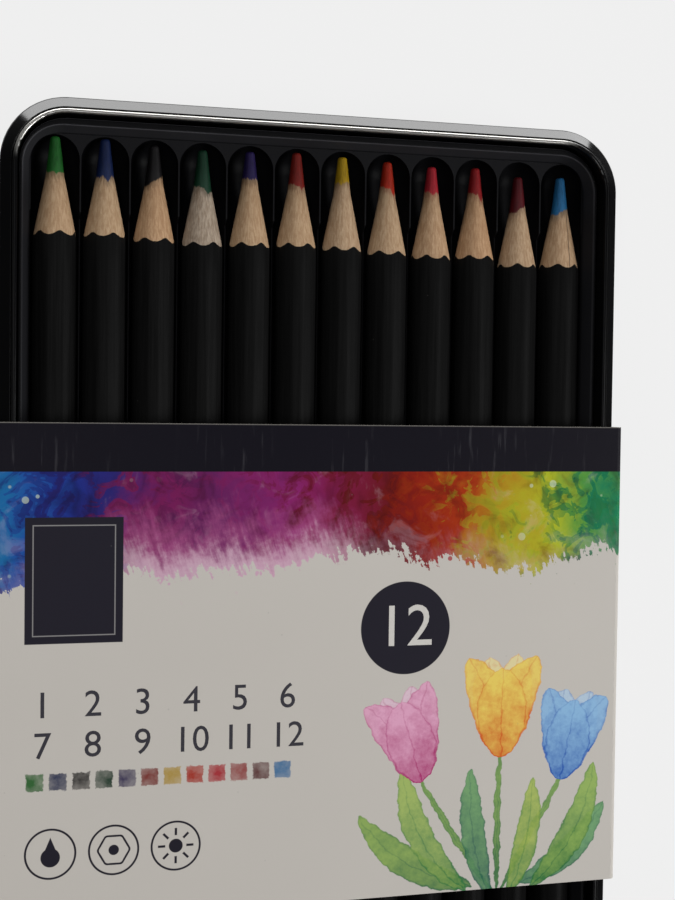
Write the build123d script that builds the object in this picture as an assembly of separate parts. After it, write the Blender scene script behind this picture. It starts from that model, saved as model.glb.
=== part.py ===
from build123d import *
import math
import os

os.makedirs("parts", exist_ok=True)

# A flat tin of coloured pencils lying on its back, with its lid parked under its base and a card sleeve
# round its middle. Sizes are in millimetres. +X is right, +Y is towards the pencil points and +Z is out
# of the open face. The origin is on the surface that the sleeve lies on, under the middle of the tin.

# Pencils
pencil_count = 12
pencil_length = 175.0
across_flats = 6.9
corner_rounding = 2.6
lacquer_thickness = 0.12
lead_diameter = 3.0
point_diameter = 1.6
point_rounding = 0.5
lead_point_length = 6.4      # from the point to the edge of the wood
bare_wood_length = 9.8       # from there to the lacquer, along the middle of a flat
# How each pencil lies: degrees that it has rolled, and its share of the end play that it has slid down
pencil_rolls = (11, 19, 27, 26, 25, 25, 24, 22, 30, 26, 41, 35)
pencil_slips = (0.0, 0.0, 0.2, 0.33, 0.25, 0.15, 0.25, 0.4, 0.55, 0.45, 0.9, 0.8)

# Formed tray that the pencils lie in
tray_sheet = 0.4
well_clearance = 0.413       # round a pencil that rolls on its corners
well_ridge = 0.13            # between two wells, at the height of the pencils' axes
end_play = 2.6
end_clearance = 0.3          # left at each end of a pencil that has slid all the way
ridge_rise = 0.7             # of the ridges beside the points, over the pencils' axes
ridge_step = 1.2             # how much lower the ridges are beside the barrels
ridge_step_run = 1.0         # the length of that step's slope
point_bay_length = 12.5      # from the wells' round ends to the step
well_margin = 0.1            # from a well to the foot of the slope round the wells
slope_height = 2.5
slope_run_side = 1.3
slope_run_end = 1.1
tray_edge_rounding = 0.3
flange_side = 0.5
flange_end = 1.05
tray_fit = 0.35              # between the tray's flange and the base
corner_clearance = 0.1       # where a rounded corner lies inside another, seen from above

# Base of the tin, with its edge folded outwards into a hem
tin_sheet = 0.3
base_foot_radius = 1.5
base_rim_rise = 2.5          # of the hem, over the tray's flange
hem_gap = 0.2                # inside the fold
hem_height = 1.8
hem_rounding = 0.35

# Lid, parked under the base, with its edge rolled outwards into a bead with a sloping top
lid_fit = 0.1                # between the base's hem and the lid's wall
lid_foot_radius = 1.2
lid_rim_drop = 0.25          # of the bead, below the base's hem
bead_width = 1.85
bead_height = 1.9            # at its high inner side
bead_slope = 30              # degrees that the top falls outwards
bead_rounding = 0.35
bead_lip_rounding = 0.12

# Card sleeve
card_thickness = 0.5
sleeve_length = 81.2
sleeve_offset = 1.55         # of its middle from the tin's, towards the points
sleeve_fit_side = 0.6
sleeve_fit_front = 0.3
sleeve_fold_radius = 0.9     # outside each fold
glue_flap_margin = 0.9       # from the fold that the glued flap hangs on to the flap
glue_flap_relief = 0.5       # between the flap and the lid's bead


def outer_corner_radius(gap_x, gap_y, inner_radius):
    """The largest corner radius that keeps clear of a smaller corner, gap_x and gap_y inside it."""
    free_x = gap_x - corner_clearance
    free_y = gap_y - corner_clearance
    return free_x + free_y + corner_clearance + inner_radius + math.sqrt(2 * free_x * free_y)


# Places that follow from the sizes above
flat_reach = across_flats / 2
rounding_shortfall = corner_rounding * (1 / math.cos(math.radians(30)) - 1)
corner_reach = flat_reach / math.cos(math.radians(30)) - rounding_shortfall
well_radius = corner_reach + well_clearance
pencil_pitch = 2 * well_radius + well_ridge
well_length = pencil_length + end_play + 2 * end_clearance
wells_half_width = (pencil_count - 1) / 2 * pencil_pitch + well_radius

lid_floor_z = card_thickness
base_floor_z = lid_floor_z + tin_sheet
tray_bottom_z = base_floor_z + tin_sheet
axis_z = tray_bottom_z + tray_sheet + well_radius
ridge_z = axis_z + ridge_rise
flange_z = ridge_z + slope_height
rim_z = flange_z + base_rim_rise
lid_rim_z = rim_z - lid_rim_drop
bead_low_z = lid_rim_z - bead_height

foot_half_x = wells_half_width + well_margin
foot_half_y = well_length / 2 + well_margin
brow_half_x = foot_half_x + slope_run_side
brow_half_y = foot_half_y + slope_run_end
tray_half_x = brow_half_x + flange_side
tray_half_y = brow_half_y + flange_end
base_half_x = tray_half_x + tray_fit
base_half_y = tray_half_y + tray_fit
well_corner_radius = outer_corner_radius(well_clearance + well_margin, end_clearance + well_margin, 0)
base_corner_radius = outer_corner_radius(
    base_half_x - foot_half_x - tray_sheet,
    base_half_y - foot_half_y - tray_sheet,
    well_corner_radius + tray_sheet,
)
tray_corner_radius = base_corner_radius - tray_fit
brow_corner_radius = tray_corner_radius - max(flange_side, flange_end)
foot_corner_radius = brow_corner_radius - max(slope_run_side, slope_run_end)
hem_reach = 2 * tin_sheet + hem_gap
lid_grow = hem_reach + lid_fit          # from the base's inner wall to the lid's inner wall
tin_half_x = base_half_x + lid_grow + bead_width


def rounded_block(half_x, half_y, radius, low_z, high_z):
    outline = RectangleRounded(2 * half_x, 2 * half_y, radius)
    return extrude(Plane.XY.offset(low_z) * outline, high_z - low_z)


def base_block(grow, low_z, high_z):
    """A block with the outline of the base's inner wall, grown outwards."""
    return rounded_block(base_half_x + grow, base_half_y + grow, base_corner_radius + grow, low_z, high_z)


def round_foot(block, radius):
    return fillet(block.edges().group_by(Axis.Z)[0], radius)


def drawn_pan(grow, floor_z, rim, foot_radius):
    """A pan of tin sheet whose inner wall stands outside the base's inner wall by grow."""
    outside = round_foot(base_block(grow + tin_sheet, floor_z, rim), foot_radius)
    inside = round_foot(base_block(grow, floor_z + tin_sheet, rim), foot_radius - tin_sheet)
    return outside - inside


def make_base():
    pan = drawn_pan(0, base_floor_z, rim_z, base_foot_radius)
    hem_low = rim_z - hem_height
    hem = base_block(hem_reach, hem_low, rim_z) - base_block(0, hem_low, rim_z)
    hem = fillet(hem.edges().group_by(Axis.Z)[-1], hem_rounding)
    fold = base_block(tin_sheet + hem_gap, hem_low, rim_z - tin_sheet)
    fold -= base_block(tin_sheet, hem_low, rim_z - tin_sheet)
    # The pan's sharp rim gives way to the hem's rounded one
    pan -= base_block(tin_sheet, hem_low, rim_z) - base_block(0, hem_low, rim_z)
    return pan + (hem - fold)


def bead_ring(inset):
    """The bead as a solid ring, or the space inside its sheet where inset is the sheet's thickness."""
    slope = math.radians(bead_slope)
    inner = lid_grow + inset
    outer = lid_grow + bead_width - inset
    high_z = lid_rim_z - inset * (math.tan(slope) + 1 / math.cos(slope))
    shoulder_z = high_z - (outer - inner) * math.tan(slope)
    low_z = bead_low_z + inset
    foot = RectangleRounded(2 * (base_half_x + outer), 2 * (base_half_y + outer), base_corner_radius + outer)
    brow = RectangleRounded(2 * (base_half_x + inner), 2 * (base_half_y + inner), base_corner_radius + inner)
    top = loft([Plane.XY.offset(shoulder_z) * foot, Plane.XY.offset(high_z) * brow], ruled=True)
    block = base_block(outer, low_z, shoulder_z) + top
    levels = block.edges().group_by(Axis.Z)
    block = fillet(levels[0] + levels[2], bead_rounding - inset)
    return block - base_block(inner, low_z, high_z)


def make_lid():
    pan = drawn_pan(lid_grow, lid_floor_z, bead_low_z, lid_foot_radius)
    bead = bead_ring(0)
    bead = fillet(bead.edges().group_by(Axis.Z)[-1], bead_lip_rounding)
    return pan + (bead - bead_ring(tin_sheet))


def well_tools(radius, extra_length):
    """The wells as solids: a cylinder each, round at the point end and square at the other."""
    tools = []
    for index in range(pencil_count):
        x = (index - (pencil_count - 1) / 2) * pencil_pitch
        rear_y = -well_length / 2 - extra_length
        dome_y = well_length / 2 - well_radius
        barrel = extrude(Plane(origin=(x, rear_y, axis_z), z_dir=(0, 1, 0)) * Circle(radius), dome_y - rear_y)
        tools.append(barrel + Pos(x, dome_y, axis_z) * Sphere(radius))
    return tools


def slope_tool(sheet):
    """The hollow over the ridges, with sloping walls; sheet is how far its walls stand outside."""
    low = Plane.XY.offset(ridge_z - sheet)
    high = Plane.XY.offset(flange_z)
    foot = RectangleRounded(2 * (foot_half_x + sheet), 2 * (foot_half_y + sheet), foot_corner_radius + sheet)
    brow = RectangleRounded(2 * (brow_half_x + sheet), 2 * (brow_half_y + sheet), brow_corner_radius + sheet)
    return loft([low * foot, high * brow], ruled=True)


def barrel_bay_tool(sheet):
    """The lower part of that hollow, beside the barrels, with a sloping step towards the points."""
    step_y = well_length / 2 - point_bay_length
    low_z = ridge_z - ridge_step
    rear_y = -foot_half_y
    side = Polyline(
        (rear_y - sheet, ridge_z),
        (rear_y - sheet, low_z - sheet),
        (step_y - ridge_step_run + sheet, low_z - sheet),
        (step_y + sheet, ridge_z),
        close=True,
    )
    half_x = foot_half_x + sheet
    profile = Plane.YZ.offset(-half_x) * make_face(side)
    return extrude(profile, 2 * half_x)


def well_limit(sheet):
    """The room that the wells may take, with the corners that keep clear of the base's corners."""
    return rounded_block(foot_half_x + sheet, foot_half_y + sheet, well_corner_radius + sheet, 0, flange_z)


def rim_edge_is_inner(middle):
    """Whether an edge of the tray's flange runs round the hollow, not round the outside."""
    inner_x = abs(middle.X) < brow_half_x + flange_side / 2
    inner_y = abs(middle.Y) < brow_half_y + flange_end / 2
    return inner_x and inner_y


def make_tray():
    plate = rounded_block(tray_half_x, tray_half_y, tray_corner_radius, flange_z - tray_sheet, flange_z)
    rim = plate + slope_tool(tray_sheet) - slope_tool(0)
    top_edges = rim.edges().group_by(Axis.Z)[-1]
    brow = [edge for edge in top_edges if rim_edge_is_inner(edge.center())]
    rim = fillet(brow, tray_edge_rounding)
    shells = barrel_bay_tool(tray_sheet).fuse(*well_tools(well_radius + tray_sheet, tray_sheet))
    tray = rim + (shells & well_limit(tray_sheet)) - slope_tool(0) - (barrel_bay_tool(0) & well_limit(0))
    for well in well_tools(well_radius, 0):
        tray -= well & well_limit(0)
    return tray


def hexagon_bar(inset):
    section = RegularPolygon(flat_reach - inset, 6, major_radius=False)
    section = fillet(section.vertices(), corner_rounding - inset)
    return extrude(Plane.XZ * section, pencil_length)


def sharpened_blank():
    """A round bar with the pencil's point at the origin, pointing along +Y."""
    wood_slope = (flat_reach - lead_diameter / 2) / bare_wood_length
    wide = corner_reach + well_clearance
    wide_y = -lead_point_length - (wide - lead_diameter / 2) / wood_slope
    profile = Polyline(
        (0, 0),
        (point_diameter / 2, 0),
        (lead_diameter / 2, -lead_point_length),
        (wide, wide_y),
        (wide, -pencil_length),
        (0, -pencil_length),
        close=True,
    )
    return revolve(make_face(profile), Axis.Y)


def make_pencil():
    blank = sharpened_blank()
    core = extrude(Plane.XZ * Circle(lead_diameter / 2), pencil_length)
    inner_bar = hexagon_bar(lacquer_thickness)
    lead = core & blank
    lead = fillet(lead.edges().group_by(Axis.Y)[-1], point_rounding)
    casing = (inner_bar - core) & blank
    lacquer = (hexagon_bar(0) - inner_bar) & blank
    return {"lead": lead, "casing": casing, "lacquer": lacquer}


def make_sleeve():
    low_z = 0
    high_z = rim_z + sleeve_fit_front + card_thickness
    half_x = tin_half_x + sleeve_fit_side + card_thickness
    start_y = sleeve_offset + sleeve_length / 2
    middle_z = (low_z + high_z) / 2
    outside = RectangleRounded(2 * half_x, high_z - low_z, sleeve_fold_radius)
    inside = RectangleRounded(
        2 * (half_x - card_thickness),
        high_z - low_z - 2 * card_thickness,
        sleeve_fold_radius - card_thickness,
    )
    flap_low_z = card_thickness + glue_flap_margin
    flap_high_z = bead_low_z - glue_flap_relief
    flap_x = -(half_x - card_thickness) + card_thickness / 2
    flap = Pos(flap_x, (flap_low_z + flap_high_z) / 2) * Rectangle(card_thickness, flap_high_z - flap_low_z)
    card = Pos(0, middle_z) * (outside - inside) + flap
    return extrude(Plane.XZ.offset(-start_y) * card, sleeve_length)


def place_pencils(pieces):
    for index in range(pencil_count):
        x = (index - (pencil_count - 1) / 2) * pencil_pitch
        point_y = well_length / 2 - end_clearance - pencil_slips[index] * end_play
        place = Pos(x, point_y, axis_z) * Rot(0, pencil_rolls[index], 0)
        for name, piece in pieces.items():
            export_step(place * piece, f"parts/pencil_{index + 1:02d}_{name}.step")


export_step(make_lid(), "parts/lid.step")
export_step(make_base(), "parts/base.step")
export_step(make_tray(), "parts/tray.step")
export_step(make_sleeve(), "parts/sleeve.step")
place_pencils(make_pencil())
print(f"tin {2 * tin_half_x:.1f} wide, pencils {pencil_pitch:.2f} apart, rim at {rim_z:.2f}")
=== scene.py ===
import bmesh
import bpy
import math
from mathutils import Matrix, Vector


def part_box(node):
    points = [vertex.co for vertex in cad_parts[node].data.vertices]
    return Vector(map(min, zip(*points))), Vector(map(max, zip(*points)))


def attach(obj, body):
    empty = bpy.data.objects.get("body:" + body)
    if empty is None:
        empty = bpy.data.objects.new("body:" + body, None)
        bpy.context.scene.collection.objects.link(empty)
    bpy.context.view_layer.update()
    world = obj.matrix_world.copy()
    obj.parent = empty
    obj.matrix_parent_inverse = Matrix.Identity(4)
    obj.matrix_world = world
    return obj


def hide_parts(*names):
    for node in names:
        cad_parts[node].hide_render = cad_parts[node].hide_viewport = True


# An open tin of twelve coloured pencils in a printed card sleeve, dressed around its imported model.
# Lengths are in millimetres in the pieces' dictionaries and materials, and in metres in the frame and
# on the stage.

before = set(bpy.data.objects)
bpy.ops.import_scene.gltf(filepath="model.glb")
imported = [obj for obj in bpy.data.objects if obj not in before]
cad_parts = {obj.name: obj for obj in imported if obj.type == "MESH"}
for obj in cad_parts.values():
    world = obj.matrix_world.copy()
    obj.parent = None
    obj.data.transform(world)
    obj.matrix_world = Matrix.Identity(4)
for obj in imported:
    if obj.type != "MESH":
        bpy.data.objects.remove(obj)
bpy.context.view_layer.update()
mm = 0.001
pencilCount = 12


# Node wiring: a socket that can be added and multiplied like a number

def feed(tree, socket, value):
    if isinstance(value, Wire):
        tree.links.new(value.socket, socket)
    else:
        socket.default_value = value


class Wire:
    def __init__(self, tree, socket):
        self.tree = tree
        self.socket = socket

    def math(self, operation, *others, clamp=False):
        return mathNode(self.tree, operation, self, *others, clamp=clamp)

    def __add__(self, other):
        return self.math("ADD", other)

    def __sub__(self, other):
        return self.math("SUBTRACT", other)

    def __mul__(self, other):
        return self.math("MULTIPLY", other)

    def __truediv__(self, other):
        return self.math("DIVIDE", other)

    def __rsub__(self, other):
        return mathNode(self.tree, "SUBTRACT", other, self)

    def __rtruediv__(self, other):
        return mathNode(self.tree, "DIVIDE", other, self)

    __radd__ = __add__

    def clamp(self):
        return self.math("ADD", 0.0, clamp=True)


def mathNode(tree, operation, *values, clamp=False):
    node = tree.nodes.new("ShaderNodeMath")
    node.operation = operation
    node.use_clamp = clamp
    for socket, value in zip(node.inputs, values):
        feed(tree, socket, value)
    return Wire(tree, node.outputs[0])


def step(tree, value, low, high):
    # 0 below low, 1 above high, smooth between; low may be the higher of the two
    node = tree.nodes.new("ShaderNodeMapRange")
    node.interpolation_type = "SMOOTHSTEP"
    for socket, entry in zip(node.inputs, (value, low, high, 0.0, 1.0)):
        feed(tree, socket, entry)
    return Wire(tree, node.outputs[0])


def combine(tree, x, y, z):
    node = tree.nodes.new("ShaderNodeCombineXYZ")
    for socket, value in zip(node.inputs, (x, y, z)):
        feed(tree, socket, value)
    return Wire(tree, node.outputs[0])


def separate(tree, vector):
    node = tree.nodes.new("ShaderNodeSeparateXYZ")
    feed(tree, node.inputs[0], vector)
    return [Wire(tree, socket) for socket in node.outputs]


def vectorMath(tree, operation, *values):
    node = tree.nodes.new("ShaderNodeVectorMath")
    node.operation = operation
    sockets = (node.inputs[0], node.inputs["Scale"]) if operation == "SCALE" else node.inputs
    for socket, value in zip(sockets, values):
        feed(tree, socket, value)
    return Wire(tree, node.outputs["Value" if operation == "LENGTH" else "Vector"])


def noise(tree, vector, scale, detail=2.0, roughness=0.5, distortion=0.0, color=False):
    node = tree.nodes.new("ShaderNodeTexNoise")
    feed(tree, node.inputs["Vector"], vector)
    node.inputs["Scale"].default_value = scale
    node.inputs["Detail"].default_value = detail
    node.inputs["Roughness"].default_value = roughness
    node.inputs["Distortion"].default_value = distortion
    return Wire(tree, node.outputs[1 if color else 0])


def cells(tree, vector, scale):
    # Distance to the nearest scattered point, and a random colour for that point
    node = tree.nodes.new("ShaderNodeTexVoronoi")
    feed(tree, node.inputs["Vector"], vector)
    node.inputs["Scale"].default_value = scale
    return Wire(tree, node.outputs["Distance"]), Wire(tree, node.outputs["Color"])


def linear(red, green, blue):
    # A colour as a screen shows it, 0 to 255, to a colour for a shader
    def one(value):
        value /= 255
        return value / 12.92 if value <= 0.04045 else ((value + 0.055) / 1.055) ** 2.4
    return (one(red), one(green), one(blue), 1.0)


def blendColor(tree, factor, low, high, kind="MIX"):
    node = tree.nodes.new("ShaderNodeMix")
    node.data_type = "RGBA"
    node.blend_type = kind
    for index, value in ((0, factor), (6, low), (7, high)):
        feed(tree, node.inputs[index], value)
    return Wire(tree, node.outputs[2])


def colorStops(tree, factor, stops, interpolation="LINEAR"):
    node = tree.nodes.new("ShaderNodeValToRGB")
    ramp = node.color_ramp
    ramp.interpolation = interpolation
    while len(ramp.elements) < len(stops):
        ramp.elements.new(0.5)
    for element, (place, color) in zip(ramp.elements, stops):
        element.position = place
        element.color = color
    feed(tree, node.inputs[0], factor)
    return Wire(tree, node.outputs[0])


def newGroup(name, kind, inputs, outputs):
    # inputs and outputs are {name: (socket kind, default)} and {name: socket kind}
    tree = bpy.data.node_groups.new(name, kind)
    for label, (socketKind, default) in inputs.items():
        socket = tree.interface.new_socket(label, in_out="INPUT", socket_type=socketKind)
        if default is not None:
            socket.default_value = default
    for label, socketKind in outputs.items():
        tree.interface.new_socket(label, in_out="OUTPUT", socket_type=socketKind)
    source = tree.nodes.new("NodeGroupInput")
    target = tree.nodes.new("NodeGroupOutput")
    return tree, {s.name: Wire(tree, s) for s in source.outputs if s.name}, target


def useGroup(tree, group, **values):
    node = tree.nodes.new("ShaderNodeGroup")
    node.node_tree = group
    for label, value in values.items():
        feed(tree, node.inputs[label], value)
    return {socket.name: Wire(tree, socket) for socket in node.outputs}


def newMaterial(name, **constants):
    material = bpy.data.materials.new(name)
    material.use_nodes = True
    tree = material.node_tree
    shader = tree.nodes["Principled BSDF"]
    for label, value in constants.items():
        shader.inputs[label.replace("_", " ")].default_value = value
    return material, tree, shader


def pointMm(tree):
    # The point on the piece in the frame's millimetres
    coordinates = tree.nodes.new("ShaderNodeTexCoord")
    return vectorMath(tree, "SCALE", Wire(tree, coordinates.outputs["Object"]), 1 / mm)


def surfaceNormal(tree):
    geometry = tree.nodes.new("ShaderNodeNewGeometry")
    return separate(tree, Wire(tree, geometry.outputs["True Normal"]))


def attribute(tree, name):
    node = tree.nodes.new("ShaderNodeAttribute")
    node.attribute_name = name
    return Wire(tree, node.outputs["Fac"])


def bump(tree, shader, height, distance, strength):
    node = tree.nodes.new("ShaderNodeBump")
    node.inputs["Strength"].default_value = strength
    node.inputs["Distance"].default_value = distance
    feed(tree, node.inputs["Height"], height)
    tree.links.new(node.outputs["Normal"], shader.inputs["Normal"])


def paint(frameNode, material):
    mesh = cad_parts[frameNode].data
    mesh.materials.clear()
    mesh.materials.append(material)


# Effects that several materials share

def makeDustGroup():
    # Sparse pale specks of dust and lint; the vector is in millimetres
    tree, given, target = newGroup(
        "dustSpecks",
        "ShaderNodeTree",
        {"Vector": ("NodeSocketVector", None), "Amount": ("NodeSocketFloat", 0.5)},
        {"Mask": "NodeSocketFloat"},
    )
    distance, tint = cells(tree, given["Vector"], 0.42)
    pick = separate(tree, tint)
    small = step(tree, distance, 0.05 + pick[1] * 0.05, 0.02)
    rare = step(tree, pick[0], 1.0 - given["Amount"] * 0.25, 1.0 - given["Amount"] * 0.2)
    feed(tree, target.inputs["Mask"], small * rare)
    return tree


def makeMottleGroup():
    # Broad uneven patches and fine grit, each from 0 to 1; the vector is in millimetres
    tree, given, target = newGroup(
        "mottle",
        "ShaderNodeTree",
        {
            "Vector": ("NodeSocketVector", None),
            "Patch": ("NodeSocketFloat", 20.0),
            "Grit": ("NodeSocketFloat", 0.3),
        },
        {"Patches": "NodeSocketFloat", "Fine": "NodeSocketFloat"},
    )
    broad = vectorMath(tree, "SCALE", given["Vector"], 1.0 / given["Patch"])
    close = vectorMath(tree, "SCALE", given["Vector"], 1.0 / given["Grit"])
    feed(tree, target.inputs["Patches"], noise(tree, broad, 1.0, 3.0, 0.55))
    feed(tree, target.inputs["Fine"], noise(tree, close, 1.0, 2.0, 0.6))
    return tree


dustSpecks = makeDustGroup()
dustColor = linear(110, 108, 106)
mottle = makeMottleGroup()
print("shared effects made")


# Pencils

pencil = {
    "lengthMm": 175.0,
    "acrossFlatsMm": 6.9,
    "cornerRoundingMm": 2.6,
    "lacquerMm": 0.12,
    "leadMm": 3.0,
    "pointMm": 1.6,
    "pointRoundingMm": 0.5,
    "leadPointMm": 6.4,
    "bareWoodMm": 9.8,
    "edgeWaverMm": 0.22,      # how unevenly the sharpener cut the lacquer
    "raggedMm": 1.1,          # how unevenly the lead's colour ends
    "spikeRadians": 0.45,     # half the width of the spike in which it runs further down
    "steps": 120,             # round each pencil
    "rollDegrees": (11, 19, 27, 26, 25, 25, 24, 22, 30, 26, 41, 35),
    "cracked": 12,            # the pencil whose wood has a dark crack
    "crackAsideMm": 0.75,     # and how far right of its middle
    # Wood in three kinds: cool, warm and grey
    "paleWood": (linear(175, 153, 122), linear(177, 141, 106), linear(160, 148, 134)),
    "darkWood": (linear(152, 126, 95), linear(151, 114, 80), linear(122, 108, 94)),
    "poreColor": linear(104, 82, 60),
    "ringColor": linear(140, 106, 74),
    "crackColor": linear(48, 36, 26),
    "lacquerColors": (linear(13, 13, 13), linear(20, 20, 20)),
    "lacquerDustColor": linear(96, 94, 92),
}

# For each pencil: its lead's slot name and colour, how far the colour runs down, its slant to the
# right, a spike's depth and angle in degrees, how grey its wood is and how warm
leads = [
    ("green", (27, 94, 34), 6.0, 0.1, 0.3, 10, 0.1, 0.5),
    ("dark_blue", (14, 31, 72), 6.3, -0.1, 0.9, 12, 0.1, 0.4),
    ("black", (14, 12, 14), 6.0, -0.8, 0.3, -50, 0.05, 0.8),
    ("teal_green", (11, 51, 33), 6.6, 0.55, 0.6, 25, 0.85, 0.25),
    ("violet", (35, 24, 74), 4.7, 0.05, 0.2, 0, 0.1, 0.5),
    ("red", (116, 26, 19), 5.7, 0.25, 0.6, 25, 0.1, 0.5),
    ("yellow", (166, 133, 13), 4.5, -0.1, 0.3, -20, 0.2, 0.45),
    ("orange_red", (162, 35, 11), 4.7, 0.35, 1.2, 38, 0.15, 0.45),
    ("rose", (164, 30, 43), 4.6, 0.1, 0.5, -5, 0.1, 0.7),
    ("crimson", (135, 18, 23), 4.9, 0.5, 0.9, 32, 0.05, 0.9),
    ("carmine", (78, 6, 16), 5.8, -0.75, 0.3, -30, 0.2, 0.5),
    ("sky_blue", (34, 101, 149), 6.0, -0.7, 0.4, -40, 0.15, 0.55),
]


def hexRadius(tree, angle, acrossHalf, rounding):
    # How far a rounded hexagon reaches at each angle, in millimetres
    turn = math.radians(30)
    off = angle.math("WRAP", turn, -turn).math("ABSOLUTE")
    inner = acrossHalf - rounding
    flat = mathNode(tree, "DIVIDE", acrossHalf, off.math("COSINE"))
    toCorner = turn - off
    centre = inner / math.cos(turn)
    across = toCorner.math("SINE") * centre
    corner = toCorner.math("COSINE") * centre + (rounding ** 2 - across * across).math("SQRT")
    onFlat = off.math("LESS_THAN", math.atan(inner * math.tan(turn) / acrossHalf))
    return corner + onFlat * (flat - corner)


def follow(tree, ring, knots):
    # The place along a profile: knots are (rings up to here, distance from the point, radius)
    start = knots[0]
    along, radius = start[1], start[2]
    for before, after in zip(knots, knots[1:]):
        share = ((ring - float(before[0])) / float(after[0] - before[0])).clamp()
        along = share * (after[1] - before[1]) + along
        radius = share * (after[2] - before[2]) + radius
    return along, radius


def pencilProfile(tree, part, angle, waver):
    # The knots of one of a pencil's three parts, as a closed or pole-to-pole outline
    acrossHalf = pencil["acrossFlatsMm"] / 2
    rounding = pencil["cornerRoundingMm"]
    lacquer = pencil["lacquerMm"]
    core = pencil["leadMm"] / 2
    woodStart = pencil["leadPointMm"]
    slope = (acrossHalf - core) / pencil["bareWoodMm"]
    length = pencil["lengthMm"]
    if part == "lead":
        tip = pencil["pointMm"] / 2
        soft = pencil["pointRoundingMm"]
        knots = [(0, 0.0, 0.0)]
        for count in range(5):
            turn = math.radians(90 * count / 4)
            reach = tip - soft + soft * math.sin(turn)
            knots.append((count + 1, soft - soft * math.cos(turn), reach))
        knots.append((30, woodStart, core))
        knots.append((34, length, core))
        knots.append((36, length, 0.0))
        return knots, False
    inside = hexRadius(tree, angle, acrossHalf - lacquer, rounding - lacquer)
    insideEdge = (inside - core) / slope + woodStart
    if part == "casing":
        return [
            (0, woodStart, core),
            (36, insideEdge, inside),
            (56, length, inside),
            (58, length, core),
            (60, woodStart, core),
        ], True
    outside = hexRadius(tree, angle, acrossHalf, rounding)
    outsideEdge = (outside - core) / slope + woodStart + waver * 1.3
    return [
        (0, insideEdge + waver, inside),
        (2, outsideEdge, outside),
        (40, length, outside),
        (41, length, inside),
        (44, insideEdge + waver, inside),
    ], True


def makePencilTree(part):
    tree, given, target = newGroup(
        "pencil" + part.capitalize(),
        "GeometryNodeTree",
        {
            "Place": ("NodeSocketVector", None),
            "Roll": ("NodeSocketFloat", 0.0),
            "Waver": ("NodeSocketFloat", pencil["edgeWaverMm"]),
            "Colour Run": ("NodeSocketFloat", 6.0),
            "Slant": ("NodeSocketFloat", 0.0),
            "Spike": ("NodeSocketFloat", 0.0),
            "Spike Angle": ("NodeSocketFloat", 0.0),
            "Seed": ("NodeSocketFloat", 0.0),
            "Finish": ("NodeSocketMaterial", None),
        },
        {"Geometry": "NodeSocketGeometry"},
    )
    steps = pencil["steps"]
    grid = tree.nodes.new("GeometryNodeMeshGrid")
    position = separate(tree, Wire(tree, tree.nodes.new("GeometryNodeInputPosition").outputs[0]))
    angle = (position[1] + 0.5) * math.tau
    round2d = combine(tree, angle.math("SINE"), angle.math("COSINE"), given["Seed"])
    waver = (noise(tree, round2d, 2.2, 4.0, 0.7) - 0.5) * given["Waver"] * 2.0
    knots, closed = pencilProfile(tree, part, angle, waver)
    rings = knots[-1][0]
    grid.inputs["Vertices X"].default_value = rings + 1
    grid.inputs["Vertices Y"].default_value = steps + 1
    along, radius = follow(tree, (position[0] + 0.5) * float(rings), knots)
    turned = angle + given["Roll"]
    place = separate(tree, given["Place"])
    spot = combine(
        tree,
        turned.math("SINE") * radius * mm + place[0],
        place[1] - along * mm,
        turned.math("COSINE") * radius * mm + place[2],
    )
    moved = tree.nodes.new("GeometryNodeSetPosition")
    feed(tree, moved.inputs["Position"], spot)
    merged = tree.nodes.new("GeometryNodeMergeByDistance")
    merged.inputs["Distance"].default_value = 1e-6
    # How far below the colour's ragged edge each point lies, in millimetres
    aside = (turned - given["Spike Angle"]).math("WRAP", math.pi, -math.pi).math("ABSOLUTE")
    spike = (1.0 - aside / pencil["spikeRadians"]).math("MAXIMUM", 0.0) * given["Spike"]
    ragged = (noise(tree, round2d, 3.1, 3.0, 0.6) - 0.5) * pencil["raggedMm"]
    edge = given["Colour Run"] + turned.math("SINE") * given["Slant"] + spike + ragged
    # At the far end the lead has its colour again and the wood is bare
    nearPoint = along.math("LESS_THAN", 40.0)
    atFarEnd = -20.0 if part == "lead" else 20.0
    below = (along - edge) * nearPoint + (1.0 - nearPoint) * atFarEnd
    stored = tree.nodes.new("GeometryNodeStoreNamedAttribute")
    stored.data_type = "FLOAT"
    stored.domain = "POINT"
    stored.inputs["Name"].default_value = "belowColour"
    feed(tree, stored.inputs["Value"], below)
    tree.links.new(grid.outputs[0], stored.inputs["Geometry"])
    tree.links.new(stored.outputs[0], moved.inputs["Geometry"])
    tree.links.new(moved.outputs[0], merged.inputs["Geometry"])
    smooth = tree.nodes.new("GeometryNodeSetShadeSmooth")
    tree.links.new(merged.outputs[0], smooth.inputs["Geometry"])
    realize = tree.nodes.new("GeometryNodeRealizeInstances")
    tree.links.new(smooth.outputs[0], realize.inputs[0])
    finish = tree.nodes.new("GeometryNodeSetMaterial")
    tree.links.new(realize.outputs[0], finish.inputs["Geometry"])
    feed(tree, finish.inputs["Material"], given["Finish"])
    tree.links.new(finish.outputs[0], target.inputs[0])
    return tree


def fromTree(name, tree, inputs):
    # Runs a geometry tree on an empty mesh and keeps the result as a plain mesh
    holder = bpy.data.objects.new("holder", bpy.data.meshes.new("holder"))
    bpy.context.scene.collection.objects.link(holder)
    modifier = holder.modifiers.new("tree", "NODES")
    modifier.node_group = tree
    for item in tree.interface.items_tree:
        if item.in_out == "INPUT" and item.name in inputs:
            modifier[item.identifier] = inputs[item.name]
    bpy.context.view_layer.update()
    evaluated = holder.evaluated_get(bpy.context.evaluated_depsgraph_get())
    mesh = bpy.data.meshes.new_from_object(evaluated)
    holder.modifiers.remove(modifier)
    bpy.data.objects.remove(holder)
    return finishMesh(name, mesh)


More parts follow.
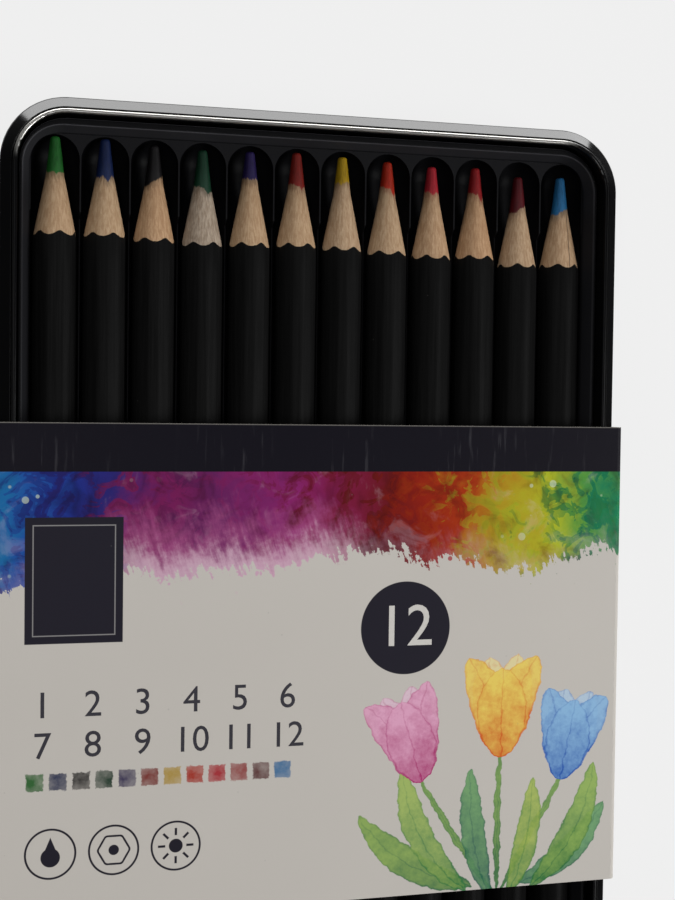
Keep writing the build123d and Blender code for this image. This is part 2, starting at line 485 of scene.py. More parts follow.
def finishMesh(name, mesh):
    work = bmesh.new()
    work.from_mesh(mesh)
    bmesh.ops.recalc_face_normals(work, faces=work.faces)
    work.to_mesh(mesh)
    work.free()
    mesh.name = name
    mesh.set_sharp_from_angle(angle=math.radians(35))
    piece = bpy.data.objects.new(name, mesh)
    bpy.context.scene.collection.objects.link(piece)
    return piece


def makeConeMaterial(name, leadColor, greyness, warmth, crackX):
    # Bare wood with the lead's colour rubbed into it at the ragged edge
    material, tree, shader = newMaterial(name, Specular_IOR_Level=0.3)
    point = pointMm(tree)
    x, y, z = separate(tree, point)
    stretched = combine(tree, x, y * 0.09, z)
    grain = noise(tree, stretched, 3.0, 4.0, 0.65, 0.3)
    pores = noise(tree, combine(tree, x, y * 0.22, z), 9.0, 3.0, 0.6)
    rings = noise(tree, combine(tree, x, y * 0.02, z), 1.1, 2.0, 0.5)
    below = attribute(tree, "belowColour")
    pale, dark = [
        blendColor(tree, greyness, blendColor(tree, warmth, cool, warm), grey)
        for cool, warm, grey in (pencil["paleWood"], pencil["darkWood"])
    ]
    wood = blendColor(tree, step(tree, grain, 0.34, 0.7), dark, pale)
    wood = blendColor(tree, step(tree, pores, 0.66, 0.8) * 0.4, wood, pencil["poreColor"])
    wood = blendColor(tree, step(tree, rings, 0.55, 0.75) * 0.2, wood, pencil["ringColor"])
    if crackX:
        away = (x + (rings - 0.5) * 0.5 - crackX).math("ABSOLUTE")
        crack = step(tree, away, 0.11, 0.05) * step(tree, below, 0.4, 1.6) * step(tree, grain, 0.2, 0.4)
        wood = blendColor(tree, crack * 0.85, wood, pencil["crackColor"])
    fine = noise(tree, point, 7.0, 3.0, 0.7)
    shade = noise(tree, stretched, 5.0, 2.0, 0.6)
    deeper = [part * 0.6 for part in leadColor[:3]] + [1.0]
    rich = blendColor(tree, step(tree, shade, 0.35, 0.75), leadColor, deeper)
    edge = below + (fine - 0.5) * 0.9
    smear = step(tree, below + (grain - 0.5) * 2.4, 1.6, 0.0) * 0.4
    smeared = blendColor(tree, smear, wood, leadColor, "MULTIPLY")
    cover = step(tree, edge, 0.1, -0.12)
    feed(tree, shader.inputs["Base Color"], blendColor(tree, cover, smeared, rich))
    feed(tree, shader.inputs["Roughness"], 0.72 - cover * 0.24 + (grain - 0.5) * 0.15)
    turns = noise(tree, combine(tree, x * 0.15, y, z * 0.15), 4.0, 2.0, 0.5)
    bump(tree, shader, grain * 0.6 + pores * 0.5 + turns * 0.5, 0.06 * mm, 0.7)
    return material


def makeLacquerMaterial():
    # Matte black lacquer with faint drawn lines and dust
    material, tree, shader = newMaterial("pencilLacquer", Specular_IOR_Level=0.03)
    point = pointMm(tree)
    x, y, z = separate(tree, point)
    lines = noise(tree, combine(tree, x * 1.4, y * 0.03, z * 1.4), 2.2, 4.0, 0.6)
    specks = useGroup(tree, dustSpecks, Vector=point, Amount=0.35)["Mask"]
    uneven = useGroup(tree, mottle, Vector=point, Patch=14.0, Grit=0.22)
    color = blendColor(tree, step(tree, lines, 0.3, 0.75), *pencil["lacquerColors"])
    color = blendColor(tree, specks, color, pencil["lacquerDustColor"])
    feed(tree, shader.inputs["Base Color"], color)
    feed(tree, shader.inputs["Roughness"], 0.44 + (uneven["Patches"] - 0.5) * 0.2 + specks * 0.4)
    bump(tree, shader, lines * 0.4 + uneven["Fine"] * 0.35 + specks * 0.5, 0.03 * mm, 0.6)
    return material


def makePencils():
    trees = {part: makePencilTree(part) for part in ("lead", "casing", "lacquer")}
    lacquerMaterial = makeLacquerMaterial()
    for index, (leadName, color, run, slant, spike, spikeAngle, greyness, warmth) in enumerate(leads):
        body = f"pencil_{index + 1:02d}"
        low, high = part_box(body + "_lead")
        place = (low + high) / 2
        place.y = high.y
        crackX = place.x / mm + pencil["crackAsideMm"] if index + 1 == pencil["cracked"] else None
        cone = makeConeMaterial(body + "Cone", linear(*color), greyness, warmth, crackX)
        inputs = {
            "Place": place,
            "Roll": math.radians(pencil["rollDegrees"][index]),
            "Waver": pencil["edgeWaverMm"],
            "Colour Run": run,
            "Slant": slant,
            "Spike": spike,
            "Spike Angle": math.radians(spikeAngle),
            "Seed": 3.7 * (index + 1),
        }
        for part, tree in trees.items():
            inputs["Finish"] = lacquerMaterial if part == "lacquer" else cone
            piece = fromTree(f"{body}_{part}_dressed", tree, inputs)
            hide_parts(f"{body}_{part}")
            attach(piece, body)


makePencils()
print("pencils made")


# Tin and tray

tin = {
    "color": linear(11, 11, 12),
    # the next colour is a painted highlight along the hem's top, coloured as bare tinplate
    "hemHighlightColor": linear(205, 203, 198),
    "roughness": 0.22,
    # roughness of that painted highlight
    "hemHighlightRoughness": 0.3,
    "coatRoughness": 0.12,
    "hemHighlightMm": 0.2,            # how far down from its top the hem carries the painted highlight
    "highlightEndsMm": 84.0,       # how far along the tin, either way, the painted highlights and the full gloss start
    "highlightRightMm": 42.0,      # and how far to the right the painted highlight goes
    "sideGloss": 0.06,        # share of the gloss on the long sides
    "coatIndex": 1.7,
}
tray = {
    "color": linear(12, 12, 14),
    "patchColor": linear(18, 18, 20),
    # the next two colours are a painted sheen on the slope and a painted highlight along its upper edge
    "paintedSheenColor": linear(50, 50, 53),
    "paintedEdgeHighlightColor": linear(80, 80, 84),
    "roughness": 0.46,
}


def makeTinMaterial(name, highlightFromMm):
    # Glossy black stoving lacquer on tinplate, with a painted highlight, coloured as bare metal, above
    # the given height
    material, tree, shader = newMaterial(
        name, Coat_Roughness=tin["coatRoughness"], Coat_IOR=tin["coatIndex"], Specular_IOR_Level=0.02)
    point = pointMm(tree)
    x, y, z = separate(tree, point)
    uneven = useGroup(tree, mottle, Vector=point, Patch=16.0, Grit=0.9)
    specks = useGroup(tree, dustSpecks, Vector=point, Amount=0.3)["Mask"]
    color = blendColor(tree, specks * 0.7, tin["color"], dustColor)
    # Painted highlight on top of the hem at the short ends, left of the given limit, coloured as bare
    # metal
    normalZ = surfaceNormal(tree)[2]
    atEnds = step(tree, y.math("ABSOLUTE"), tin["highlightEndsMm"], tin["highlightEndsMm"] + 7.0)
    highlightZone = atEnds * step(tree, x, tin["highlightRightMm"] + 4.0, tin["highlightRightMm"])
    paintedHighlight = step(tree, z + (uneven["Fine"] - 0.5) * 0.2, highlightFromMm, highlightFromMm + 0.1)
    paintedHighlight = paintedHighlight * highlightZone * normalZ.math("GREATER_THAN", 0.1)
    feed(tree, shader.inputs["Base Color"], blendColor(tree, paintedHighlight, color, tin["hemHighlightColor"]))
    feed(tree, shader.inputs["Metallic"], paintedHighlight)
    rough = tin["roughness"] + (uneven["Patches"] - 0.5) * 0.16 + specks * 0.4
    feed(tree, shader.inputs["Roughness"], rough + paintedHighlight * (tin["hemHighlightRoughness"] - tin["roughness"]))
    feed(tree, shader.inputs["Coat Weight"], atEnds * (1.0 - tin["sideGloss"]) + tin["sideGloss"])
    bump(tree, shader, uneven["Fine"], 0.02 * mm, 0.3)
    return material


def makeTrayMaterial():
    # Black plastic sheet drawn over a mould: soft waves, lint, and a painted sheen on the slope near
    # its top with a painted highlight along its edge
    material, tree, shader = newMaterial("formedPlastic", Specular_IOR_Level=0.08)
    point = pointMm(tree)
    x, y, z = separate(tree, point)
    waves = noise(tree, combine(tree, x * 0.5, y * 0.16, z * 0.5), 0.8, 2.0, 0.5)
    uneven = useGroup(tree, mottle, Vector=point, Patch=9.0, Grit=0.5)
    specks = useGroup(tree, dustSpecks, Vector=point, Amount=0.5)["Mask"]
    # Painted sheen on the slope below the tray's top, with a painted highlight along its upper edge,
    # fainter on the deck and strongest near the ends
    top = (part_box("tray")[1] / mm).z
    slope = step(tree, z, top - 2.45, top - 2.0) * step(tree, z, top - 0.02, top - 0.1)
    deck = step(tree, z, top - 3.2, top - 2.6) * step(tree, z, top - 1.9, top - 2.3) * 0.3
    nearEnds = step(tree, y.math("ABSOLUTE"), tin["highlightEndsMm"] - 6.0, tin["highlightEndsMm"] + 3.0)
    paintedSheen = slope.math("MAXIMUM", deck) * (nearEnds * 0.65 + 0.35)
    edge = step(tree, z, top - 0.36, top - 0.2)
    stretched = blendColor(tree, edge, tray["paintedSheenColor"], tray["paintedEdgeHighlightColor"])
    color = blendColor(tree, paintedSheen, tray["color"], stretched)
    color = blendColor(tree, uneven["Patches"] * 0.5, color, tray["patchColor"])
    color = blendColor(tree, specks * 0.6, color, dustColor)
    feed(tree, shader.inputs["Base Color"], color)
    rough = tray["roughness"] + (uneven["Patches"] - 0.5) * 0.2 + specks * 0.3
    feed(tree, shader.inputs["Roughness"], rough)
    bump(tree, shader, waves + uneven["Fine"] * 0.08, 0.12 * mm, 0.5)
    return material


def dressTin():
    rim = (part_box("base")[1] / mm).z
    # All of the lid is lower than the rim, so it gets no painted highlight
    paint("lid", makeTinMaterial("lidLacquer", rim + 1.0))
    paint("base", makeTinMaterial("baseLacquer", rim - tin["hemHighlightMm"]))
    paint("tray", makeTrayMaterial())


dressTin()
print("tin and tray painted")


# Card sleeve: a dark band, a colour wash under it, a plain plate, a numbered badge, swatches and tulips

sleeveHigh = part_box("sleeve")[1] / mm
sleeve = {
    "bandMm": 7.9,
    "washMm": 15.5,
    "cardColor": linear(199, 194, 187),
    "cardShade": linear(195, 190, 183),
    "topEdgeHighlightColor": linear(150, 146, 140),          # a painted highlight along the front's top edge
    "rawColors": (linear(158, 150, 138), linear(176, 168, 156)),
    "bandColor": linear(18, 16, 25),
    # painted glints of a wrapping film on the dark band
    "glintColor": linear(62, 61, 66),
    "inkColor": linear(34, 32, 42),
    "lineColor": linear(136, 134, 134),
    "digitsColor": linear(56, 54, 62),          # the lighter of two inks; the other is inkColor
    "badgeColors": (linear(196, 192, 186), linear(214, 211, 206)),
    "specksColor": linear(120, 118, 116),
    "plate": (-49.5, 6.5, -33.8, 26.9),         # left, bottom, right and top in millimetres
    "badge": (14.6, 7.4, 8.0),                  # centre and radius
    "digitsStart": (-46.6, -3.6),               # centre of the first number, in two rows of six
    "digitsPitch": (8.1, 6.6),
    "digitsHeight": 4.4,
    "badgeDigits": 0.92,                        # height over the badge's radius
    "fontOverHeight": 1.38,                     # the font's size over the height of its digits
    "inkMm": 0.01,
    "swatchStart": (-49.3, -14.4),              # top left of the first of twelve in a row
    "swatchPitch": 3.72,
    "swatchSize": 3.0,
    "icons": ((-45.2, -27.6), (-35.0, -27.6), (-24.8, -27.6)),
    "iconRadius": 4.0,
    "lineMm": 0.17,                             # half the width of the icons' lines
    "stemFoot": (32.0, -41.0),
    "stemColors": ((48, 110, 58), (132, 168, 86)),
}
washColors = (
    (0.00, (24, 110, 160)), (0.06, (30, 82, 158)), (0.13, (30, 46, 132)), (0.19, (42, 34, 108)),
    (0.24, (116, 26, 84)), (0.33, (96, 30, 88)), (0.42, (134, 34, 104)), (0.50, (122, 22, 60)),
    (0.57, (104, 16, 18)), (0.63, (142, 29, 10)), (0.69, (166, 52, 12)), (0.74, (174, 140, 28)),
    (0.82, (172, 182, 38)), (0.88, (84, 148, 60)), (0.93, (22, 124, 84)), (1.00, (40, 142, 78)),
)
flowers = (
    # foot of the head, lean in degrees, length, deep colour, light colour
    (18.0, -19.5, -17, 17.5, (170, 48, 110), (224, 164, 194)),
    (43.8, -20.5, 11, 17.0, (40, 90, 174), (140, 184, 222)),
    (32.4, -15.8, 1, 18.8, (210, 96, 34), (234, 206, 98)),
)
leaves = (
    # foot, lean in degrees, length, width, bend, deep colour, light colour
    (27.5, -38.5, -57, 25, 5.2, 2.4, (38, 104, 62), (138, 170, 84)),
    (36.0, -38.5, 50, 21, 5.0, -2.2, (30, 96, 74), (112, 164, 110)),
    (26.5, -39.5, -28, 26, 5.0, 2.8, (52, 120, 66), (160, 184, 96)),
    (38.0, -39.5, 29, 25, 5.2, -2.8, (44, 112, 60), (146, 178, 88)),
    (30.5, -40.5, -9, 23, 4.6, 1.2, (28, 92, 78), (110, 160, 104)),
    (34.2, -40.5, 12, 21, 4.4, -1.2, (60, 126, 60), (168, 186, 92)),
)


def makePetalGroup():
    # One brush-painted petal or leaf over what is under it
    tree, given, target = newGroup(
        "paintedPetal",
        "ShaderNodeTree",
        {
            "Under": ("NodeSocketColor", None),
            "Spot": ("NodeSocketVector", None),
            "X": ("NodeSocketFloat", 0.0),
            "Y": ("NodeSocketFloat", 0.0),
            "Lean": ("NodeSocketFloat", 0.0),
            "Length": ("NodeSocketFloat", 10.0),
            "Width": ("NodeSocketFloat", 4.0),
            "Bend": ("NodeSocketFloat", 0.0),
            "Deep": ("NodeSocketColor", None),
            "Light": ("NodeSocketColor", None),
            "Wash": ("NodeSocketFloat", 0.5),
        },
        {"Color": "NodeSocketColor"},
    )
    spotX, spotY = separate(tree, given["Spot"])[:2]
    dx = spotX - given["X"]
    dy = spotY - given["Y"]
    sine = given["Lean"].math("SINE")
    cosine = given["Lean"].math("COSINE")
    along = ((dx * sine + dy * cosine) / given["Length"]).clamp()
    fromEnd = 1.0 - along
    across = dx * cosine - dy * sine + along * fromEnd * 4.0 * given["Bend"]
    half = (along * fromEnd * 4.0).math("POWER", 0.64) * given["Width"] * 0.5
    inside = half - across.math("ABSOLUTE")
    mask = step(tree, inside, -0.05, 0.12) * step(tree, half, 0.02, 0.1)
    rim = step(tree, inside, 0.5, 0.0) * 0.45
    vein = step(tree, across.math("ABSOLUTE"), 0.22, 0.02) * 0.3
    amount = (fromEnd * 0.75 + (given["Wash"] - 0.5) * 1.9 + rim + vein - 0.05).clamp()
    color = blendColor(tree, amount, given["Light"], given["Deep"])
    feed(tree, target.inputs["Color"], blendColor(tree, mask * 0.94, given["Under"], color))
    return tree


def boxDistance(tree, x, y, left, bottom, right, top):
    # Below 0 inside a rectangle
    offX = (x - (left + right) / 2).math("ABSOLUTE") - (right - left) / 2
    offY = (y - (bottom + top) / 2).math("ABSOLUTE") - (top - bottom) / 2
    return offX.math("MAXIMUM", offY)


def radiusFrom(tree, x, y, centreX, centreY):
    return vectorMath(tree, "LENGTH", combine(tree, x - centreX, y - centreY, 0.0))


def inked(tree, distance, soft=0.06):
    return step(tree, distance, soft, -soft)


def printWash(tree, under, x, y, spot, fine, medium):
    # A ragged band of watercolour that hangs from the dark band
    broad = noise(tree, spot, 0.07, 3.0, 0.5)
    patches = noise(tree, spot, 0.19, 3.0, 0.6, 1.4)
    crisp = step(tree, patches, 0.5, 0.515) + step(tree, patches, 0.58, 0.595)
    hueX = x + (broad - 0.5) * 20.0 + (medium - 0.5) * 8.0 + (crisp - 0.7) * 3.6
    stops = [(place, linear(*color)) for place, color in washColors]
    hue = colorStops(tree, (hueX + 60.0) / 120.0, stops)
    pools = noise(tree, spot, 0.15, 5.0, 0.6, 0.8)
    hue = blendColor(tree, step(tree, pools, 0.46, 0.7) * 0.6, hue, linear(150, 84, 96), "MULTIPLY")
    hue = blendColor(tree, step(tree, pools, 0.44, 0.3) * 0.3, hue, linear(150, 130, 140), "SCREEN")
    hue = blendColor(tree, crisp * 0.16, hue, linear(150, 100, 90), "MULTIPLY")
    streaks = noise(tree, combine(tree, x * 1.3 + y * 0.4, y * 0.22, 0.0), 0.9, 4.0, 0.6)
    sag = noise(tree, combine(tree, x, 3.0, 0.0), 0.045, 2.0, 0.5)
    edgeY = sleeveHigh.y - sleeve["bandMm"] - sleeve["washMm"] - (sag - 0.5) * 16.0
    inside = y - edgeY + (streaks - 0.5) * 7.0 + (fine - 0.5) * 4.0 + (medium - 0.5) * 6.0
    # Diluted towards the bottom, most of all under the purple
    purple = step(tree, x, -42.0, -28.0) * step(tree, x, 12.0, -4.0)
    reach = purple * 5.5 + 2.5 + (broad - 0.5) * 10.0
    thin = step(tree, inside + (streaks - 0.5) * 2.4 + (medium - 0.5) * 5.0, reach + 4.0, reach - 6.5)
    lower = step(tree, inside, 6.0, 0.0)
    diluted = blendColor(tree, lower, linear(170, 84, 136), linear(214, 178, 196))
    hue = blendColor(tree, thin * (purple * 0.62 + 0.2), hue, diluted)
    distance, pick = cells(tree, spot, 0.33)
    pickX, pickY, pickZ = separate(tree, pick)
    ends = step(tree, x.math("ABSOLUTE"), 26.0, 40.0)
    dropSize = pickX * 0.26
    drop = step(tree, distance, dropSize + 0.05, dropSize + 0.02) * pickY.math("GREATER_THAN", 0.4)
    hue = blendColor(tree, drop * ends * (pickZ * 0.3 + 0.2), hue, linear(206, 222, 196))
    color = blendColor(tree, step(tree, inside, -0.2, 0.12), under, hue)
    distance, pick = cells(tree, spot, 0.62)
    pickX, pickY = separate(tree, pick)[:2]
    spatter = step(tree, distance, pickX * 0.3, pickX * 0.3 - 0.06) * pickY.math("GREATER_THAN", 0.7)
    spatter = spatter * step(tree, inside, -5.5, -1.5)
    return blendColor(tree, spatter, color, hue)


def printPlate(tree, under, x, y):
    left, bottom, right, top = sleeve["plate"]
    distance = boxDistance(tree, x, y, left, bottom, right, top)
    color = blendColor(tree, inked(tree, distance), under, sleeve["inkColor"])
    line = (distance + 1.3).math("ABSOLUTE") - 0.09
    return blendColor(tree, inked(tree, line), color, sleeve["lineColor"])


def printBadge(tree, under, x, y):
    centreX, centreY, radius = sleeve["badge"]
    distance = radiusFrom(tree, x, y, centreX, centreY) - radius
    return blendColor(tree, inked(tree, distance), under, sleeve["inkColor"])


def printSwatches(tree, under, x, y, fine, medium):
    # A row of brushed patches in the twelve leads' colours
    startX, startY = sleeve["swatchStart"]
    pitch = sleeve["swatchPitch"]
    size = sleeve["swatchSize"]
    column = (x - startX) / pitch
    within = column.math("GREATER_THAN", 0.0) * column.math("LESS_THAN", float(pencilCount))
    offX = (column.math("FRACT") * pitch - size / 2).math("ABSOLUTE") - size / 2
    offY = (y - startY + size / 2).math("ABSOLUTE") - size / 2
    edge = offX.math("MAXIMUM", offY) + (fine - 0.5) * 0.9 + (medium - 0.5) * 0.5 + 0.12
    stops = [(place / pencilCount, linear(*entry[1])) for place, entry in enumerate(leads)]
    hue = colorStops(tree, column / float(pencilCount), stops, "CONSTANT")
    pale = (0.42 - (medium - 0.5) * 2.2 + offY * 0.12).clamp()
    hue = blendColor(tree, pale * 0.5, hue, linear(214, 208, 200))
    return blendColor(tree, inked(tree, edge, 0.1) * within * 0.95, under, hue)


def printIcons(tree, under, x, y):
    # Three ringed signs: a water drop, a barrel's hexagon and a sun
    color = under
    ring = sleeve["iconRadius"]
    thick = sleeve["lineMm"]
    ink = sleeve["inkColor"]
    for centreX, centreY in sleeve["icons"]:
        away = (radiusFrom(tree, x, y, centreX, centreY) - ring).math("ABSOLUTE") - thick
        color = blendColor(tree, inked(tree, away), color, ink)
    dropX, dropY = sleeve["icons"][0]
    bulb = radiusFrom(tree, x, y, dropX, dropY - 0.6) - 1.55
    upward = (dropY + 2.7) - y
    cone = (x - dropX).math("ABSOLUTE") - upward * 0.42
    cone = cone.math("MAXIMUM", dropY - 0.2 - y)
    color = blendColor(tree, inked(tree, bulb.math("MINIMUM", cone)), color, ink)
    hexX, hexY = sleeve["icons"][1]
    angle = (x - hexX).math("ARCTAN2", y - hexY)
    outline = radiusFrom(tree, x, y, hexX, hexY) - hexRadius(tree, angle, 2.3, 0.6)
    color = blendColor(tree, inked(tree, outline.math("ABSOLUTE") - thick), color, ink)
    color = blendColor(tree, inked(tree, radiusFrom(tree, x, y, hexX, hexY) - 0.85), color, ink)
    sunX, sunY = sleeve["icons"][2]
    out = radiusFrom(tree, x, y, sunX, sunY)
    turn = math.radians(22.5)
    ray = (x - sunX).math("ARCTAN2", y - sunY).math("WRAP", turn, -turn)
    beam = (ray.math("SINE") * out).math("ABSOLUTE") - 0.2
    beam = beam.math("MAXIMUM", (out - 2.35).math("ABSOLUTE") - 0.6)
    color = blendColor(tree, inked(tree, (out - 1.15).math("MINIMUM", beam)), color, ink)
    return color


def printFlowers(tree, under, spot, wash):
    petal = makePetalGroup()
    color = under

    def brush(x, y, lean, length, width, bend, deep, light):
        return useGroup(
            tree, petal, Under=color, Spot=spot, X=x, Y=y, Lean=math.radians(lean), Length=length,
            Width=width, Bend=bend, Deep=linear(*deep), Light=linear(*light), Wash=wash)["Color"]

    footX, footY = sleeve["stemFoot"]
    for x, y, *rest in flowers:
        reach = math.hypot(x - footX, y - footY)
        toward = math.degrees(math.atan2(x - footX, y - footY))
        color = brush(footX, footY, toward, reach * 1.12, 1.3, 0.3, *sleeve["stemColors"])
    for x, y, lean, length, width, bend, deep, light in leaves:
        color = brush(x, y, lean, length, width, bend, deep, light)
    for x, y, lean, length, deep, light in flowers:
        paler = [value * 0.5 + 110 for value in light]
        # Five petals, the two far ones paler: turn, length, width, bend, far or not
        for turn, size, broad, bend, far in (
            (-9, 0.94, 0.44, 0.0, True), (9, 0.96, 0.44, 0.0, True), (-20, 0.98, 0.42, -1.3, False),
            (20, 1.0, 0.42, 1.3, False), (0, 0.84, 0.5, 0.0, False),
        ):
            tint = paler if far else light
            color = brush(x, y, lean + turn, length * size, length * broad, bend, deep, tint)
    return color


def makeSleeveMaterial():
    material, tree, shader = newMaterial("printedCard", Specular_IOR_Level=0.08)
    point = pointMm(tree)
    flatX, y, z = separate(tree, point)
    # The print runs on round the folds, so the sides carry on from the front
    x = flatX + flatX.math("SIGN") * (sleeveHigh.z - z)
    spot = combine(tree, x, y, 0.0)
    fine = noise(tree, spot, 1.15, 4.0, 0.65)
    medium = noise(tree, spot, 0.3, 4.0, 0.6)
    wobble = noise(tree, spot, 0.45, 3.0, 0.55, color=True)
    wobble = vectorMath(tree, "SCALE", vectorMath(tree, "SUBTRACT", wobble, (0.5, 0.5, 0.5)), 1.5)
    painted = vectorMath(tree, "ADD", spot, wobble)
    mottled = useGroup(tree, mottle, Vector=point, Patch=26.0, Grit=0.14)
    color = blendColor(tree, mottled["Patches"], sleeve["cardShade"], sleeve["cardColor"])
    color = printWash(tree, color, x, y, spot, fine, medium)
    color = printPlate(tree, color, x, y)
    color = printBadge(tree, color, x, y)
    color = printSwatches(tree, color, x, y, fine, medium)
    color = printIcons(tree, color, x, y)
    color = printFlowers(tree, color, painted, medium * 0.6 + fine * 0.4)
    band = inked(tree, sleeveHigh.y - sleeve["bandMm"] - y)
    # Painted glints of a wrapping film: short pale vertical lines on the dark band
    glintLines = noise(tree, combine(tree, x * 0.9, y * 0.07, 0.0), 1.3, 3.0, 0.6)
    where = noise(tree, combine(tree, x * 0.05, 9.0, 0.0), 1.0, 1.0, 0.5)
    paintedGlint = step(tree, glintLines, 0.57, 0.74) * step(tree, where, 0.44, 0.6)
    dark = blendColor(tree, paintedGlint * 0.6, sleeve["bandColor"], sleeve["glintColor"])
    color = blendColor(tree, band, color, dark)
    specks = useGroup(tree, dustSpecks, Vector=point, Amount=0.3)["Mask"]
    color = blendColor(tree, specks * 0.25, color, sleeve["specksColor"])
    # Painted highlight: a pale strip along the front's top edge
    paintedTopHighlight = step(tree, sleeveHigh.y - y, 0.22, 0.04) * 0.5
    color = blendColor(tree, paintedTopHighlight, color, sleeve["topEdgeHighlightColor"])
    # Bare board on the cut edges and inside, plain card on the back
    normalY = surfaceNormal(tree)[1]
    cut = normalY.math("ABSOLUTE").math("GREATER_THAN", 0.7)
    fromSide = sleeveHigh.x - flatX.math("ABSOLUTE")
    outward = fromSide.math("MINIMUM", sleeveHigh.z - z).math("MINIMUM", z)
    board = cut.math("MAXIMUM", outward.math("GREATER_THAN", 0.3))
    under = z.math("LESS_THAN", 0.3)
    color = blendColor(tree, under * (1.0 - band), color, sleeve["cardColor"])
    fibres = blendColor(tree, fine, *sleeve["rawColors"])
    color = blendColor(tree, board, color, fibres)
    feed(tree, shader.inputs["Base Color"], color)
    rough = 0.46 + (mottled["Patches"] - 0.5) * 0.14 + board * 0.4 - band * 0.06
    feed(tree, shader.inputs["Roughness"], rough)
    bump(tree, shader, mottled["Fine"] * 0.5 + mottled["Patches"], 0.05 * mm, 0.35)
    return material


def numberMesh(text, x, y, heightMm):
    # Printed digits as a thin film of ink, centred on x and y
    curve = bpy.data.curves.new("digits", "FONT")
    curve.body = text
    curve.align_x = "CENTER"
    curve.align_y = "CENTER"
    curve.size = heightMm * mm * sleeve["fontOverHeight"]
    curve.extrude = sleeve["inkMm"] * mm
    curve.resolution_u = 4
    holder = bpy.data.objects.new("digits", curve)
    bpy.context.scene.collection.objects.link(holder)
    bpy.context.view_layer.update()
    evaluated = holder.evaluated_get(bpy.context.evaluated_depsgraph_get())
    mesh = bpy.data.meshes.new_from_object(evaluated)
    bpy.data.objects.remove(holder)
    for vertex in mesh.vertices:
        vertex.co += Vector((x, y, sleeveHigh.z)) * mm
    return mesh


def makeInkMaterial(name, low, high):
    material, tree, shader = newMaterial(name, Roughness=0.5, Specular_IOR_Level=0.3)
    grain = noise(tree, pointMm(tree), 1.8, 3.0, 0.6)
    feed(tree, shader.inputs["Base Color"], blendColor(tree, grain, low, high))
    return material


def makeNumbers():
    centreX, centreY, radius = sleeve["badge"]
    badgeText = str(pencilCount)
    meshes = [(numberMesh(badgeText, centreX, centreY, radius * sleeve["badgeDigits"]), 0)]
    startX, startY = sleeve["digitsStart"]
    pitchX, pitchY = sleeve["digitsPitch"]
    for count in range(pencilCount):
        x = startX + count % 6 * pitchX
        y = startY - count // 6 * pitchY
        meshes.append((numberMesh(str(count + 1), x, y, sleeve["digitsHeight"]), 1))
    work = bmesh.new()
    for mesh, ink in meshes:
        first = len(work.faces)
        work.from_mesh(mesh)
        work.faces.ensure_lookup_table()
        for face in work.faces[first:]:
            face.material_index = ink
    joined = bpy.data.meshes.new("sleeve_numbers")
    work.to_mesh(joined)
    work.free()
    joined.materials.append(makeInkMaterial("paleInk", *sleeve["badgeColors"]))
    joined.materials.append(makeInkMaterial("darkInk", sleeve["inkColor"], sleeve["digitsColor"]))
    piece = bpy.data.objects.new("sleeve_numbers", joined)
    bpy.context.scene.collection.objects.link(piece)
    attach(piece, "sleeve")


paint("sleeve", makeSleeveMaterial())
makeNumbers()
print("sleeve printed")


# Stage

stage = {
    "floorHalf": 4.0,
    "floorDrop": 0.0002,      # how far the floor lies below the sleeve
    "floorColor": (0.86, 0.86, 0.86, 1.0),
    "backdrop": linear(240, 240, 240),
    "shadowShare": 0.07,
    "worldLevel": 0.05,
}


def seenFactor(tree):
    # 1 for what the camera sees straight, in gloss or through glass
    path = tree.nodes.new("ShaderNodeLightPath")
    labels = ("Is Camera Ray", "Is Glossy Ray", "Is Transmission Ray")
    straight, gloss, glass = [Wire(tree, path.outputs[label]) for label in labels]
    return straight.math("MAXIMUM", gloss).math("MAXIMUM", glass)


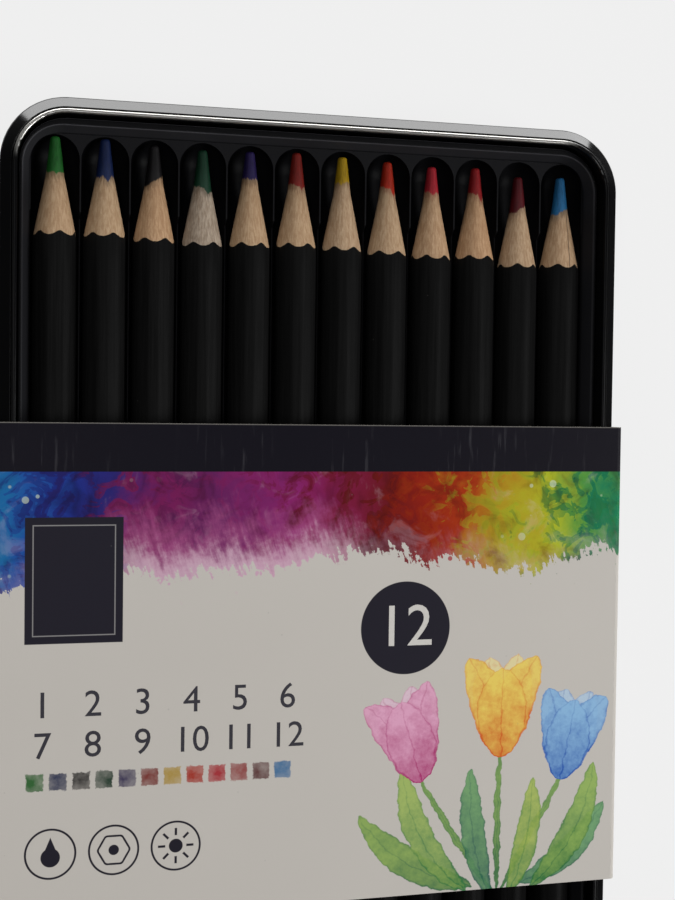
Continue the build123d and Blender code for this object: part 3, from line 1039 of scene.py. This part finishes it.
def makeFloor():
    half = stage["floorHalf"]
    mesh = bpy.data.meshes.new("floor")
    sides = ((-1, -1), (1, -1), (1, 1), (-1, 1))
    corners = [(x * half, y * half, -stage["floorDrop"]) for x, y in sides]
    mesh.from_pydata(corners, [], [(0, 1, 2, 3)])
    floor = bpy.data.objects.new("floor", mesh)
    bpy.context.scene.collection.objects.link(floor)
    material = bpy.data.materials.new("palePaper")
    material.use_nodes = True
    tree = material.node_tree
    tree.nodes.clear()
    matte = tree.nodes.new("ShaderNodeBsdfDiffuse")
    matte.inputs["Color"].default_value = stage["floorColor"]
    glow = tree.nodes.new("ShaderNodeEmission")
    glow.inputs["Color"].default_value = stage["backdrop"]
    mixer = tree.nodes.new("ShaderNodeMixShader")
    feed(tree, mixer.inputs[0], seenFactor(tree) * (1.0 - stage["shadowShare"]))
    tree.links.new(matte.outputs[0], mixer.inputs[1])
    tree.links.new(glow.outputs[0], mixer.inputs[2])
    output = tree.nodes.new("ShaderNodeOutputMaterial")
    tree.links.new(mixer.outputs[0], output.inputs[0])
    mesh.materials.append(material)


def makeWorld():
    world = bpy.data.worlds.new("studio")
    bpy.context.scene.world = world
    world.use_nodes = True
    tree = world.node_tree
    background = tree.nodes["Background"]
    path = tree.nodes.new("ShaderNodeLightPath")
    level = stage["worldLevel"]
    dim = (level, level, level, 1.0)
    shown = blendColor(tree, Wire(tree, path.outputs["Is Camera Ray"]), dim, stage["backdrop"])
    feed(tree, background.inputs["Color"], shown)


lamps = {
    # name: place in metres, aim, width, height, watts
    "overhead": ((0.12, 0.95, 0.34), (0.0, 0.09, 0.01), 1.56, 0.42, 10.4),
    "key": ((1.0, -0.25, 0.85), (0.0, 0.0, 0.0), 0.7, 0.7, 11.0),
    "fill": ((-0.35, -0.1, 1.25), (0.0, 0.0, 0.0), 0.8, 0.8, 3.6),
}


def makeLamps():
    for name, (place, aim, width, height, watts) in lamps.items():
        data = bpy.data.lights.new(name, "AREA")
        data.shape = "RECTANGLE"
        data.size = width
        data.size_y = height
        data.energy = watts
        lamp = bpy.data.objects.new(name, data)
        lamp.location = place
        lamp.rotation_euler = (Vector(aim) - Vector(place)).to_track_quat("-Z", "Y").to_euler()
        bpy.context.scene.collection.objects.link(lamp)


camera = {
    "place": (-0.06233, 0.04555, 0.2469),
    "turnDegrees": (-1.993, -15.305, 0.742),
    "lens": 57.77,
}


def makeCamera():
    data = bpy.data.cameras.new("camera")
    data.lens = camera["lens"]
    data.sensor_width = 36.0
    data.clip_start = 0.01
    eye = bpy.data.objects.new("camera", data)
    eye.location = camera["place"]
    eye.rotation_euler = [math.radians(turn) for turn in camera["turnDegrees"]]
    bpy.context.scene.collection.objects.link(eye)
    bpy.context.scene.camera = eye


makeFloor()
makeWorld()
makeLamps()
makeCamera()
bpy.context.scene.view_settings.view_transform = "Standard"
print("stage made")
